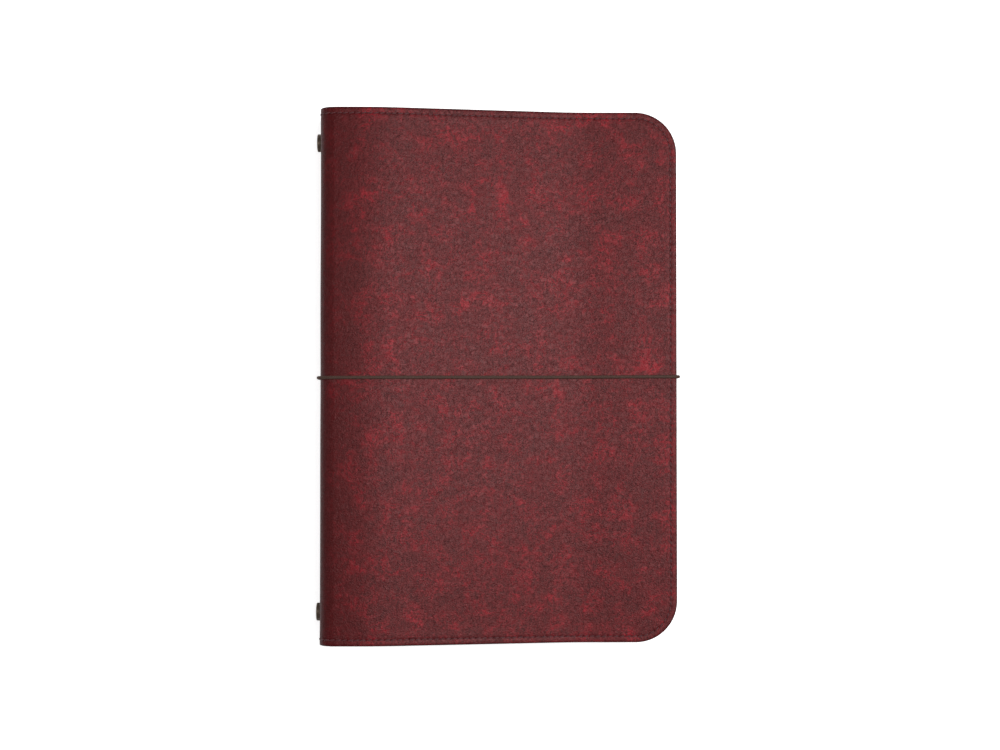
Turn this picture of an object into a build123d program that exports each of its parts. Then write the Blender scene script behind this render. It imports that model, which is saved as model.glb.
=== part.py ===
"""Ring-bound coin album with a soft leather cover, six pocket sheets and an elastic closure.

Millimetres. The album lies closed on its back cover: +X runs from the spine to the fore-edge,
+Y along the spine to the head of the album, +Z up through its thickness. The origin is the
middle of the closed album on the plane that it rests on.

The cover is a sandwich of leather, leatherboard core and lining, sewn round its edge. It is in
three panels (back, spine, front) joined by two folds that have no core. The ring mechanism is
held to the spine by two binding posts, and the sheets ride on its six rings.
"""

import math
import os

from build123d import *

# --- Cover -----------------------------------------------------------------------------------
COVER_HEIGHT = 237.0  # along the spine
CLOSED_WIDTH = 158.5  # spine face to fore-edge
CORNER_RADIUS = 18.5  # fore-edge corners
LEATHER = 1.6
CORE = 1.0
LINING = 0.8
FOLD_RADIUS = 7.0  # outer face of each fold
EDGE_ROUND = 0.8  # burnished outer corner of the front fore-edge
COVER_OVER_SHEETS = 3.5  # from the top sheet to the front cover, at the fore-edge
DRAPE_START = 17.2  # from the spine face to where the front cover starts to fall
DRAPE_RADIUS = 90.0  # the bends at both ends of that fall
FORE_LEVEL = 37.5  # from the end of that fall to the fore-edge

# --- Stitching -------------------------------------------------------------------------------
STITCH_INSET = 2.8  # thread line from the cut edge
THREAD_WIDTH = 0.6
THREAD_DEPTH = 0.4  # outer run
INNER_THREAD_DEPTH = 0.25
THREAD_SUNK = 0.05  # the thread lies this far below the surface
THREAD_PLAY = 0.1

# --- Ring mechanism --------------------------------------------------------------------------
RING_INSIDE = 20.0  # clear diameter in a closed ring
WIRE = 3.0
RING_OPENS = 12.0  # degrees, each half
RING_TIP_GAP = 0.2
RING_CLEARANCE = 0.46  # from a fully open ring to the cover
RING_STEPS = (35.0, 54.0, 73.0)  # ring places either side of the middle
LEG_BEND = 3.0
HOUSING_WIDTH = 24.0
HOUSING_RISE = 8.0
HOUSING_WALL = 0.8
HOUSING_LENGTH = 224.0
PLATE = 0.8
PLATE_LEVEL = 3.0  # middle of the hinge plates above the lining
PLATE_SIDE_PLAY = 0.25  # from their outer edge to the inside of the arch
PLATE_GAP = 0.3
PLATE_LENGTH = 198.0
LEG_PLACE = 6.2  # where a ring half is riveted to its plate
PLATE_PLAY = 0.2

# --- Levers ----------------------------------------------------------------------------------
LEVER_PIN_PLACE = 101.0
LEVER_PIN_RADIUS = 0.9
LEVER_PIN_PLAY = 0.06
LEVER_PIN_LEVEL = 2.0
LEVER_TOE = 7.6
LEVER_SHEET = 1.2
LEVER_HALF_WIDTH = 6.2
LEVER_TOE_HALF_WIDTH = 1.2
LEVER_TAB_TOP = 11.5
LEVER_TAB_REACH = 1.4  # from the end of the housing to the thumb tab
LEVER_ARM_LIFT = 1.0  # from the pin's level to the arm, at the end of the housing
LEVER_BEND = 0.6  # inside corner between the arm and the tab
LEVER_EASE = 0.4  # outside corner there
LEVER_FORK_PLAY = 0.7  # beside the post
LEVER_FORK_DEPTH = 1.7  # beyond the post, where the arm swings down past it
LEVER_PIN_SHORT = 0.2  # from the pin's end to the housing's outer face

# --- Binding posts ---------------------------------------------------------------------------
POST_SPACING = 210.0
POST_HEAD_RADIUS = 4.0
POST_HEAD = 2.5
POST_HEAD_ROUND = 0.5
POST_RADIUS = 2.5
POST_SEAT = 7.4  # pressed seat in the housing, above the lining
POST_SEAT_RADIUS = 4.4
SCREW_HEAD_RADIUS = 3.8
SCREW_HEAD = 1.2
SCREW_RADIUS = 1.75
SCREW_LENGTH = 7.0
SCREW_END_ROOM = 0.5  # in the post's bore, past the screw
SCREW_SLOT = 0.8
SCREW_PLAY = 0.05
POST_PLAY = 0.1

# --- Elastic closure -------------------------------------------------------------------------
CORD = 1.5
CORD_STANDOFF = 0.1  # from the leather to the cord's surface
CORD_SLANT = 0.8  # how much nearer the tail the cord leaves the spine than it goes in
CORD_BEND = 1.7
CORD_ANCHORED = 8.0  # length sewn into the back cover's edge
CORD_CHANNEL_PLAY = 0.1
EYELET_BORE = 1.75
EYELET_WALL = 0.5
EYELET_FLANGE = 3.6
EYELET_FLANGE_DEPTH = 0.5
EYELET_PROUD = 0.1
CRIMP_RADIUS = 2.6
CRIMP_LENGTH = 1.9

# --- Sheets ----------------------------------------------------------------------------------
SHEET_COUNT = 6
SHEET_FORE_MARGIN = 4.7  # from the cover's edge to the sheets
SHEET_END_MARGIN = 11.5
FILM = 0.25
INTERLEAF = 0.4
POCKET_SPACE = 0.8
BINDING_STRIP = 0.4
BINDING_MARGIN = 16.0
SLOT_LENGTH = 8.0
SLOT_WIDTH = 5.0
SLOT_PLACE = 8.0  # middle of a slot from the binding edge
SLOT_OFFSET = 1.2  # the sheets are pushed outward, so a ring sits this far inside its slot's middle
SEAM = 2.0
COLUMNS = 2
ROWS = 4
ROW_SEAM = 1.5
MOUTH_GAP = 2.2  # between a pocket's open edge and the row above
POCKET_INSET = 0.5  # from the pockets to the sheet's edge and to the binding margin
THUMB_CUT = 8.0
SHEET_CORNER = 3.0
INTERLEAF_INSET = 1.0
SHEET_SPREAD = 2.4  # between neighbours on the rings
SHEET_GAP = 0.35  # between neighbours at the fore-edge
OPEN_FLAT_GAP = 0.2  # how much higher the sheets lie when the album is open

# --- Worked out ------------------------------------------------------------------------------
CUT_PAST = 1.0  # a cut runs this far past the face that it opens
COVER = LEATHER + CORE + LINING
WIRE_RADIUS = WIRE / 2
RING_RADIUS = RING_INSIDE / 2 + WIRE_RADIUS
RING_OUTSIDE = RING_INSIDE / 2 + WIRE
OPEN_SINE = math.sin(math.radians(RING_OPENS))
OPEN_COSINE = math.cos(math.radians(RING_OPENS))
HOUSING_RADIUS = (HOUSING_WIDTH**2 / 4 + HOUSING_RISE**2) / (2 * HOUSING_RISE)
PLATE_TOP_FROM_AXIS = PLATE_LEVEL + PLATE / 2 + HOUSING_RADIUS - HOUSING_RISE
PLATE_ROOM = math.sqrt((HOUSING_RADIUS - HOUSING_WALL) ** 2 - PLATE_TOP_FROM_AXIS**2)
PLATE_PIVOT = PLATE_ROOM - PLATE_SIDE_PLAY  # the plates' outer edge, from the middle of the spine

# An opening ring half swings its centre sideways by (centre height over the pivot) x sine plus
# pivot x (1 - cosine), and the spine is just deep enough for that swing.
HALF_INSIDE = (
    RING_OUTSIDE
    + RING_CLEARANCE
    + (OPEN_FLAT_GAP - PLATE_LEVEL) * OPEN_SINE
    + PLATE_PIVOT * (1 - OPEN_COSINE)
) / (1 - OPEN_SINE)
THICKNESS = 2 * (COVER + HALF_INSIDE)
MIDDLE = THICKNESS / 2  # height of the ring centres
RING_CENTRE = HALF_INSIDE + OPEN_FLAT_GAP  # above the spine lining

SPINE_FACE = -CLOSED_WIDTH / 2
SPINE_INSIDE = SPINE_FACE + COVER
FOLD_END = SPINE_FACE + FOLD_RADIUS
FORE_EDGE = CLOSED_WIDTH / 2
HALF_HEIGHT = COVER_HEIGHT / 2
RING_X = SPINE_INSIDE + RING_CENTRE
RING_PLACES = sorted([-y for y in RING_STEPS] + list(RING_STEPS))
CORD_RADIUS = CORD / 2
CORD_OFFSET = CORD_RADIUS + CORD_STANDOFF
SHEET_THICKNESS = INTERLEAF + 2 * FILM + POCKET_SPACE
SHEET_STEP = SHEET_THICKNESS + SHEET_GAP
SHEET_WIDTH = FORE_EDGE - SHEET_FORE_MARGIN - RING_X - RING_RADIUS - SLOT_OFFSET + SLOT_PLACE
SHEET_HEIGHT = COVER_HEIGHT - 2 * SHEET_END_MARGIN
FRONT_LOW = COVER + SHEET_COUNT * SHEET_STEP + COVER_OVER_SHEETS + COVER
COVER_DROP = THICKNESS - FRONT_LOW  # how far the front cover falls from the spine to the fore-edge

# The fall is two equal bends with a straight slope between them, so its run x sine plus
# (two radii - drop) x cosine makes two radii.
DRAPE_RUN = CLOSED_WIDTH - DRAPE_START - FORE_LEVEL
DRAPE_LEVER = 2 * DRAPE_RADIUS - COVER_DROP
DRAPE_SLOPE = math.atan2(DRAPE_RUN, DRAPE_LEVER) - math.acos(
    2 * DRAPE_RADIUS / math.hypot(DRAPE_RUN, DRAPE_LEVER)
)
ALL_Y = Plane.XZ  # sections drawn in X and Z, then extruded both ways along Y
CORD_PLANE = Plane(
    origin=(0, -CORD_SLANT / 2, 0),
    x_dir=(CLOSED_WIDTH, CORD_SLANT, 0),
    z_dir=(CORD_SLANT, -CLOSED_WIDTH, 0),
)


# --- Cover sections --------------------------------------------------------------------------
def drape_points(depth, start, end):
    """Corners and arc middles of the front cover's section, a depth below its outer face."""
    first = SPINE_FACE + DRAPE_START
    last = first + DRAPE_RUN
    upper = Vector(first, THICKNESS - DRAPE_RADIUS)
    lower = Vector(last, FRONT_LOW + DRAPE_RADIUS)

    def on(centre, radius, angle):
        return centre + Vector(math.sin(angle), math.cos(angle)) * radius

    return [
        Vector(start, THICKNESS - depth),
        Vector(first, THICKNESS - depth),
        on(upper, DRAPE_RADIUS - depth, DRAPE_SLOPE / 2),
        on(upper, DRAPE_RADIUS - depth, DRAPE_SLOPE),
        on(lower, -DRAPE_RADIUS - depth, DRAPE_SLOPE),
        on(lower, -DRAPE_RADIUS - depth, DRAPE_SLOPE / 2),
        Vector(last, FRONT_LOW - depth),
        Vector(end, FRONT_LOW - depth),
    ]


def drape_edges(depth, start=FOLD_END, end=FORE_EDGE):
    """The front cover's section line, a depth below its outer face, as edges."""
    p = drape_points(depth, start, end)
    return [
        Edge.make_line(p[0], p[1]),
        Edge.make_three_point_arc(p[1], p[2], p[3]),
        Edge.make_line(p[3], p[4]),
        Edge.make_three_point_arc(p[4], p[5], p[6]),
        Edge.make_line(p[6], p[7]),
    ]


def along_y(face, length):
    """A section in X and Z as a solid that runs both ways along Y."""
    return extrude(ALL_Y * face, amount=length / 2, both=True)


def box(x0, x1, y0, y1, z0, z1):
    """A block between two corners."""
    middle = Pos((x0 + x1) / 2, (y0 + y1) / 2, (z0 + z1) / 2)
    return middle * Box(x1 - x0, y1 - y0, z1 - z0)


def panel_outline(inset, z0, z1):
    """A cover panel's outline from the fold to the fore-edge, drawn in by inset, as a block."""
    width = FORE_EDGE - inset - FOLD_END
    sheet = Pos(FOLD_END + width / 2, 0) * Rectangle(width, COVER_HEIGHT - 2 * inset)
    corners = sheet.vertices().group_by(Axis.X)[-1]
    sheet = fillet(corners, CORNER_RADIUS - inset)
    return extrude(Pos(0, 0, z0) * sheet, amount=z1 - z0)


def stitch_band(play):
    """The strip round a panel that its thread line takes, through the whole thickness."""
    half = THREAD_WIDTH / 2 + play
    outer = panel_outline(STITCH_INSET - half, -COVER, THICKNESS + COVER)
    return outer - panel_outline(STITCH_INSET + half, -COVER, THICKNESS + COVER)


def front_layer(top, bottom, rounded=False):
    """A layer of the front cover between two depths below its outer face."""
    upper = drape_edges(top, end=FORE_EDGE - EDGE_ROUND if rounded else FORE_EDGE)
    lower = drape_edges(bottom)
    joins = [Edge.make_line(lower[0] @ 0, upper[0] @ 0)]
    corner = upper[-1] @ 1
    if rounded:
        turned = corner + Vector(EDGE_ROUND, -EDGE_ROUND)
        middle = corner + Vector(math.sin(math.pi / 4), math.cos(math.pi / 4) - 1) * EDGE_ROUND
        joins.append(Edge.make_three_point_arc(corner, middle, turned))
        corner = turned
    joins.append(Edge.make_line(corner, lower[-1] @ 1))
    face = Face(Wire(upper + lower + joins))
    return along_y(face, COVER_HEIGHT) & panel_outline(0, -COVER, THICKNESS + COVER)


def front_cover():
    """Leather, core, lining and thread of the front cover, which drapes over the sheets."""
    band = stitch_band(THREAD_PLAY)
    groove = front_layer(-LEATHER, THREAD_SUNK + THREAD_DEPTH + THREAD_PLAY) & band
    inner_floor = COVER - THREAD_SUNK - INNER_THREAD_DEPTH - THREAD_PLAY
    inner_groove = front_layer(inner_floor, COVER + LINING) & band
    thread_band = stitch_band(0)
    outer_run = front_layer(THREAD_SUNK, THREAD_SUNK + THREAD_DEPTH) & thread_band
    inner_run = front_layer(COVER - THREAD_SUNK - INNER_THREAD_DEPTH, COVER - THREAD_SUNK) & thread_band
    return {
        "front_cover_leather": front_layer(0, LEATHER, rounded=True) - groove,
        "front_cover_core": front_layer(LEATHER, LEATHER + CORE),
        "front_cover_lining": front_layer(LEATHER + CORE, COVER) - inner_groove,
        "front_cover_stitching": Compound(outer_run.solids() + inner_run.solids()),
    }


def back_cover():
    """Leather, core, lining and thread of the back cover, which lies flat."""
    band = stitch_band(THREAD_PLAY)
    thread_band = stitch_band(0)
    channel = cord_tube(CORD_RADIUS + CORD_CHANNEL_PLAY)
    leather = panel_outline(0, 0, LEATHER)
    leather -= panel_outline(0, -CUT_PAST, THREAD_SUNK + THREAD_DEPTH + THREAD_PLAY) & band
    lining = panel_outline(0, LEATHER + CORE, COVER)
    inner_floor = COVER - THREAD_SUNK - INNER_THREAD_DEPTH
    lining -= panel_outline(0, inner_floor - THREAD_PLAY, COVER + CUT_PAST) & band
    outer_run = panel_outline(0, THREAD_SUNK, THREAD_SUNK + THREAD_DEPTH) & thread_band
    inner_run = (panel_outline(0, inner_floor, COVER - THREAD_SUNK) & thread_band) - channel
    return {
        "back_cover_leather": leather - channel,
        "back_cover_core": panel_outline(0, LEATHER, LEATHER + CORE) - channel,
        "back_cover_lining": lining - channel,
        "back_cover_stitching": Compound(outer_run.solids() + inner_run.solids()),
    }


def fold(height, side):
    """One fold: a quarter turn of leather with the lining glued to it. side is -1 below, 1 above."""
    centre = Pos(FOLD_END, height)
    pieces = []
    for outside, inside in (
        (FOLD_RADIUS, FOLD_RADIUS - LEATHER),
        (FOLD_RADIUS - LEATHER, FOLD_RADIUS - LEATHER - LINING),
    ):
        ring = Circle(outside) - Circle(inside)
        corner = Pos(-FOLD_RADIUS / 2, side * FOLD_RADIUS / 2) * Rectangle(FOLD_RADIUS, FOLD_RADIUS)
        pieces.append(along_y((centre * (ring & corner)).face(), COVER_HEIGHT))
    return pieces


def spine_panel():
    """Leather, core, lining and thread of the spine, pierced for the posts and the cord."""
    low, high = FOLD_RADIUS, THICKNESS - FOLD_RADIUS
    holes = [spine_cylinder(POST_RADIUS + POST_PLAY, y, -2 * COVER, COVER) for y in post_places()]
    holes.append(spine_cylinder(EYELET_BORE + EYELET_WALL, -CORD_SLANT, -2 * COVER, COVER))
    seat = EYELET_FLANGE_DEPTH - EYELET_PROUD - COVER
    recess = spine_cylinder(EYELET_FLANGE, -CORD_SLANT, -2 * COVER, seat)
    faces = [SPINE_FACE, SPINE_FACE + LEATHER, SPINE_FACE + LEATHER + CORE, SPINE_INSIDE]
    layers = [box(a, b, -HALF_HEIGHT, HALF_HEIGHT, low, high) for a, b in zip(faces, faces[1:])]
    for hole in holes:
        layers = [layer - hole for layer in layers]
    layers[0] -= recess
    runs = []
    for side in (-1, 1):
        line = side * (HALF_HEIGHT - STITCH_INSET)
        half = THREAD_WIDTH / 2
        outer_floor = SPINE_FACE + THREAD_SUNK + THREAD_DEPTH
        inner_floor = SPINE_INSIDE - THREAD_SUNK - INNER_THREAD_DEPTH
        wide = half + THREAD_PLAY
        near, far = line - wide, line + wide
        layers[0] -= box(SPINE_FACE - CUT_PAST, outer_floor + THREAD_PLAY, near, far, low, high)
        layers[2] -= box(inner_floor - THREAD_PLAY, SPINE_INSIDE + CUT_PAST, near, far, low, high)
        runs.append(box(SPINE_FACE + THREAD_SUNK, outer_floor, line - half, line + half, low, high))
        runs.append(box(inner_floor, SPINE_INSIDE - THREAD_SUNK, line - half, line + half, low, high))
    return {
        "spine_leather": layers[0],
        "spine_core": layers[1],
        "spine_lining": layers[2],
        "spine_stitching": Compound([run.solid() for run in runs]),
    }


# --- Ring mechanism --------------------------------------------------------------------------
def post_places():
    """Where the two binding posts go through the spine."""
    return (-POST_SPACING / 2, POST_SPACING / 2)


def spine_cylinder(radius, y, near, far, z=MIDDLE):
    """A cylinder along X, between two heights above the spine lining."""
    start = Plane(origin=(SPINE_INSIDE + near, y, z), x_dir=(0, 1, 0), z_dir=(1, 0, 0))
    return extrude(start * Circle(radius), amount=far - near)


def arch(radius):
    """The housing's round back, solid from the lining up, for one of its two faces."""
    centre = SPINE_INSIDE + HOUSING_RISE - HOUSING_RADIUS
    disc = Pos(centre, MIDDLE) * Circle(radius)
    half = HOUSING_WIDTH
    above = Pos(SPINE_INSIDE + half / 2, MIDDLE) * Rectangle(half, 2 * half)
    return along_y((disc & above).face(), HOUSING_LENGTH)


def ring_housing():
    """Arched steel housing: ledges for the plates, slots for the rings, seats for the posts."""
    shell = arch(HOUSING_RADIUS) - arch(HOUSING_RADIUS - HOUSING_WALL)
    ledge_top = PLATE_LEVEL - PLATE / 2 - PLATE_PLAY
    for side in (-1, 1):
        inner = MIDDLE + side * (PLATE_PIVOT - 2 * PLATE_PLAY)
        outer = MIDDLE + side * (PLATE_PIVOT + 2 * HOUSING_WALL)
        low, high = min(inner, outer), max(inner, outer)
        ledge = box(
            SPINE_INSIDE + ledge_top - HOUSING_WALL,
            SPINE_INSIDE + ledge_top,
            -PLATE_LENGTH / 2,
            PLATE_LENGTH / 2,
            low,
            high,
        )
        shell += ledge & arch(HOUSING_RADIUS - HOUSING_WALL / 2)
        for y in RING_PLACES:
            near = MIDDLE + side * (LEG_PLACE - WIRE_RADIUS - 2 * PLATE_PLAY)
            far = MIDDLE + side * (PLATE_PIVOT + 2 * PLATE_PLAY)
            reach = WIRE_RADIUS + PLATE_PLAY
            shell -= box(
                SPINE_INSIDE + PLATE_LEVEL + PLATE / 2,
                SPINE_INSIDE + 2 * HOUSING_RISE,
                y - reach,
                y + reach,
                min(near, far),
                max(near, far),
            )
    for y in post_places():
        shell -= spine_cylinder(POST_SEAT_RADIUS, y, POST_SEAT, 2 * HOUSING_RISE)
        shell += spine_cylinder(POST_SEAT_RADIUS, y, POST_SEAT - HOUSING_WALL, POST_SEAT)
        shell -= spine_cylinder(POST_RADIUS + POST_PLAY, y, -CUT_PAST, HOUSING_RISE)
    pin = LEVER_PIN_RADIUS + LEVER_PIN_PLAY
    for y in (-LEVER_PIN_PLACE, LEVER_PIN_PLACE):
        hole = Plane(origin=(SPINE_INSIDE + LEVER_PIN_LEVEL, y, MIDDLE), z_dir=(0, 0, 1))
        shell -= extrude(hole * Circle(pin), amount=HOUSING_WIDTH, both=True)
    return shell


def hinge_plate(side):
    """One of the two spring-loaded plates that carry the ring halves."""
    inner = MIDDLE + side * PLATE_GAP / 2
    outer = MIDDLE + side * PLATE_PIVOT
    plate = box(
        SPINE_INSIDE + PLATE_LEVEL - PLATE / 2,
        SPINE_INSIDE + PLATE_LEVEL + PLATE / 2,
        -PLATE_LENGTH / 2,
        PLATE_LENGTH / 2,
        min(inner, outer),
        max(inner, outer),
    )
    for y in RING_PLACES:
        plate -= spine_cylinder(WIRE_RADIUS, y, 0, HOUSING_RISE, z=MIDDLE + side * LEG_PLACE)
    return plate


def ring_half(y, side):
    """A bent wire from the rings' meeting point round to the leg riveted into its plate."""
    tip = math.asin(RING_TIP_GAP / 2 / RING_RADIUS)
    reach = RING_RADIUS + LEG_BEND
    bend = Vector(RING_X - math.sqrt(reach**2 - (LEG_PLACE + LEG_BEND) ** 2), LEG_PLACE + LEG_BEND)
    foot = math.atan2(bend.Y, bend.X - RING_X)

    def at(point):
        return Vector(point.X, y, MIDDLE + side * point.Y)

    def on(angle):
        return at(Vector(RING_X, 0) + Vector(math.cos(angle), math.sin(angle)) * RING_RADIUS)

    halfway = (foot - math.pi - math.pi / 2) / 2
    path = Wire(
        [
            Edge.make_three_point_arc(on(tip), on((tip + foot) / 2), on(foot)),
            Edge.make_three_point_arc(
                on(foot),
                at(bend + Vector(math.cos(halfway), math.sin(halfway)) * LEG_BEND),
                at(Vector(bend.X, LEG_PLACE)),
            ),
            Edge.make_line(
                at(Vector(bend.X, LEG_PLACE)),
                at(Vector(SPINE_INSIDE + PLATE_LEVEL - PLATE, LEG_PLACE)),
            ),
        ]
    )
    section = Plane(origin=path @ 0, z_dir=path % 0) * Circle(WIRE_RADIUS)
    return sweep(section, path=path).solid()


def lever(side):
    """A thumb lever: a toe under the plates, a pin, a fork round the post and a tab outside."""
    pin_y, level = LEVER_PIN_PLACE, LEVER_PIN_LEVEL
    toe_top = PLATE_LEVEL - PLATE / 2 - PLATE_PLAY
    end = HOUSING_LENGTH / 2
    tab = end + LEVER_TAB_REACH
    arm = level + LEVER_ARM_LIFT
    profile = Polyline(
        (pin_y, level - LEVER_PIN_RADIUS),
        (end + LEVER_EASE, arm + LEVER_BEND),
        (tab + LEVER_SHEET, arm + LEVER_SHEET + LEVER_EASE),
        (tab + LEVER_SHEET, LEVER_TAB_TOP),
        (tab, LEVER_TAB_TOP),
        (tab, arm + LEVER_SHEET + 2 * LEVER_BEND),
        (end, arm + LEVER_SHEET + LEVER_BEND),
        (pin_y, level + LEVER_PIN_RADIUS),
        close=True,
    )
    side_view = Plane(origin=(SPINE_INSIDE, 0, MIDDLE), x_dir=(0, 1, 0), z_dir=(0, 0, -1))
    face = make_face(side_view * profile)
    body = extrude(face, amount=LEVER_HALF_WIDTH, both=True)
    fork = POST_RADIUS + LEVER_FORK_PLAY
    body -= box(
        SPINE_INSIDE - CUT_PAST,
        SPINE_INSIDE + LEVER_TAB_TOP,
        pin_y + LEVER_PIN_RADIUS,
        POST_SPACING / 2 + POST_RADIUS + LEVER_FORK_DEPTH,
        MIDDLE - fork,
        MIDDLE + fork,
    )
    toe = box(
        SPINE_INSIDE + toe_top - PLATE,
        SPINE_INSIDE + toe_top,
        pin_y - LEVER_TOE,
        pin_y,
        MIDDLE - LEVER_TOE_HALF_WIDTH,
        MIDDLE + LEVER_TOE_HALF_WIDTH,
    )
    housing_half = math.sqrt(HOUSING_RADIUS**2 - (level + HOUSING_RADIUS - HOUSING_RISE) ** 2)
    pin_at = Plane(origin=(SPINE_INSIDE + level, pin_y, MIDDLE), z_dir=(0, 0, 1))
    pin = extrude(pin_at * Circle(LEVER_PIN_RADIUS), amount=housing_half - LEVER_PIN_SHORT, both=True)
    whole = body + toe + pin
    return whole if side > 0 else mirror(whole, about=Plane.XZ)


def binding_posts():
    """Cheese-headed posts whose heads show on the spine, with a tapped barrel."""
    posts = []
    for y in post_places():
        head = spine_cylinder(POST_HEAD_RADIUS, y, -COVER - POST_HEAD, -COVER)
        rim = head.edges().filter_by(GeomType.CIRCLE).sort_by(Axis.X)[0]
        head = fillet(rim, POST_HEAD_ROUND)
        barrel = spine_cylinder(POST_RADIUS, y, -COVER, POST_SEAT)
        floor = POST_SEAT - SCREW_LENGTH - SCREW_END_ROOM
        bore = spine_cylinder(SCREW_RADIUS + SCREW_PLAY, y, floor, POST_SEAT)
        posts.append((head + barrel - bore).solid())
    return Compound(posts)


def binding_screws():
    """Slotted screws that close the posts from inside, their heads on the housing's seats."""
    screws = []
    for y in post_places():
        head = spine_cylinder(SCREW_HEAD_RADIUS, y, POST_SEAT, POST_SEAT + SCREW_HEAD)
        rim = head.edges().filter_by(GeomType.CIRCLE).sort_by(Axis.X)[-1]
        head = fillet(rim, SCREW_HEAD / 2)
        shank = spine_cylinder(SCREW_RADIUS, y, POST_SEAT - SCREW_LENGTH, POST_SEAT)
        slot = box(
            SPINE_INSIDE + POST_SEAT + SCREW_HEAD / 2,
            SPINE_INSIDE + POST_SEAT + 2 * SCREW_HEAD,
            y - SCREW_SLOT / 2,
            y + SCREW_SLOT / 2,
            MIDDLE - 2 * SCREW_HEAD_RADIUS,
            MIDDLE + 2 * SCREW_HEAD_RADIUS,
        )
        screws.append((head + shank - slot).solid())
    return Compound(screws)


# --- Elastic closure -------------------------------------------------------------------------
def quarter(start, end, centre):
    """A quarter turn from start to end about centre, in the section plane."""
    radius = (start - centre).length
    halfway = (start + end) * 0.5 - centre
    return Edge.make_three_point_arc(start, centre + halfway * (radius / halfway.length), end)


def cord_route():
    """The cord's line: out of the spine, over the front cover, round both fore-edges."""
    face = SPINE_FACE - CORD_OFFSET
    inside = Vector(SPINE_INSIDE + CRIMP_LENGTH, MIDDLE)
    turn = Vector(face + CORD_BEND, MIDDLE)
    rising = Vector(face, MIDDLE + CORD_BEND)
    shoulder = Vector(face, THICKNESS - FOLD_RADIUS)
    over = drape_edges(-CORD_OFFSET, end=FORE_EDGE - EDGE_ROUND)
    brow = over[-1] @ 1
    outside = FORE_EDGE + CORD_OFFSET
    falling = Vector(outside, FRONT_LOW - EDGE_ROUND)
    level = COVER / 2
    low = Vector(outside, level + CORD_BEND)
    entering = Vector(outside - CORD_BEND, level)
    return (
        [
            Edge.make_line(inside, turn),
            quarter(turn, rising, Vector(turn.X, rising.Y)),
            Edge.make_line(rising, shoulder),
            quarter(shoulder, over[0] @ 0, Vector(FOLD_END, THICKNESS - FOLD_RADIUS)),
        ]
        + over
        + [
            quarter(brow, falling, Vector(FORE_EDGE - EDGE_ROUND, FRONT_LOW - EDGE_ROUND)),
            Edge.make_line(falling, low),
            quarter(low, entering, Vector(entering.X, low.Y)),
            Edge.make_line(entering, Vector(entering.X - CORD_ANCHORED, level)),
        ]
    )


def cord_tube(radius):
    """The cord, or the channel cut for it, as one tube along its route."""
    wire = Wire([CORD_PLANE * edge for edge in cord_route()])
    start = Plane(origin=wire @ 0, z_dir=wire % 0)
    return sweep(start * Circle(radius), path=wire).solid()


def cord_eyelet():
    """Metal eyelet that lines the cord's hole in the spine."""
    face = -COVER - EYELET_PROUD
    barrel = spine_cylinder(EYELET_BORE + EYELET_WALL, -CORD_SLANT, face, 0)
    flange = spine_cylinder(EYELET_FLANGE, -CORD_SLANT, face, face + EYELET_FLANGE_DEPTH)
    return barrel + flange - spine_cylinder(EYELET_BORE, -CORD_SLANT, -2 * COVER, COVER)


def cord_crimp():
    """Ferrule on the cord's inner end, too wide to pull back through the eyelet."""
    ferrule = spine_cylinder(CRIMP_RADIUS, -CORD_SLANT, CORD_STANDOFF, CRIMP_LENGTH)
    bore = CORD_RADIUS + CORD_STANDOFF / 2
    return ferrule - spine_cylinder(bore, -CORD_SLANT, -COVER, 2 * CRIMP_LENGTH)


# --- Sheets ----------------------------------------------------------------------------------
def sheet_outline(inset):
    """A sheet's outline from its binding edge at X = 0, with its ring slots and round corners."""
    width = SHEET_WIDTH - inset
    outline = Pos(width / 2, 0) * Rectangle(width, SHEET_HEIGHT - 2 * inset)
    outline = fillet(outline.vertices().group_by(Axis.X)[-1], SHEET_CORNER)
    return outline - ring_slots()


def ring_slots():
    """Six oblong punched holes, one for each ring."""
    slot = SlotOverall(SLOT_LENGTH, SLOT_WIDTH)
    return [Pos(SLOT_PLACE, y) * slot for y in RING_PLACES]


def slab(outline, bottom, thickness):
    """An outline as a layer of a sheet."""
    return extrude(Pos(0, 0, bottom) * outline, amount=thickness)


def pocket_pieces(bottom):
    """Weld seams and pocket fronts of one sheet, on top of its film."""
    pitch = (SHEET_WIDTH - BINDING_MARGIN - SEAM - 2 * POCKET_INSET) / COLUMNS
    row_pitch = (SHEET_HEIGHT - 2 * POCKET_INSET) / ROWS
    first = BINDING_MARGIN + POCKET_INSET
    half = SHEET_HEIGHT / 2 - POCKET_INSET
    top = bottom + POCKET_SPACE
    pieces = []
    for column in range(COLUMNS + 1):
        x = first + column * pitch
        pieces.append(box(x, x + SEAM, -half, half, bottom, top))
    for row in range(ROWS):
        y = -half + row * row_pitch
        for column in range(COLUMNS):
            x = first + column * pitch + SEAM
            pieces.append(box(x, x + pitch - SEAM, y, y + ROW_SEAM, bottom, top))
        front = Rectangle(COLUMNS * pitch + SEAM, row_pitch - MOUTH_GAP)
        front = Pos(first + (COLUMNS * pitch + SEAM) / 2, y + (row_pitch - MOUTH_GAP) / 2) * front
        for column in range(COLUMNS):
            thumb_x = first + (column + 0.5) * pitch + SEAM / 2
            front -= Pos(thumb_x, y + row_pitch - MOUTH_GAP + THUMB_CUT / 2) * Circle(THUMB_CUT)
        pieces.append(slab(front, top, FILM))
    return Compound([piece.solid() for piece in pieces])


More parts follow.
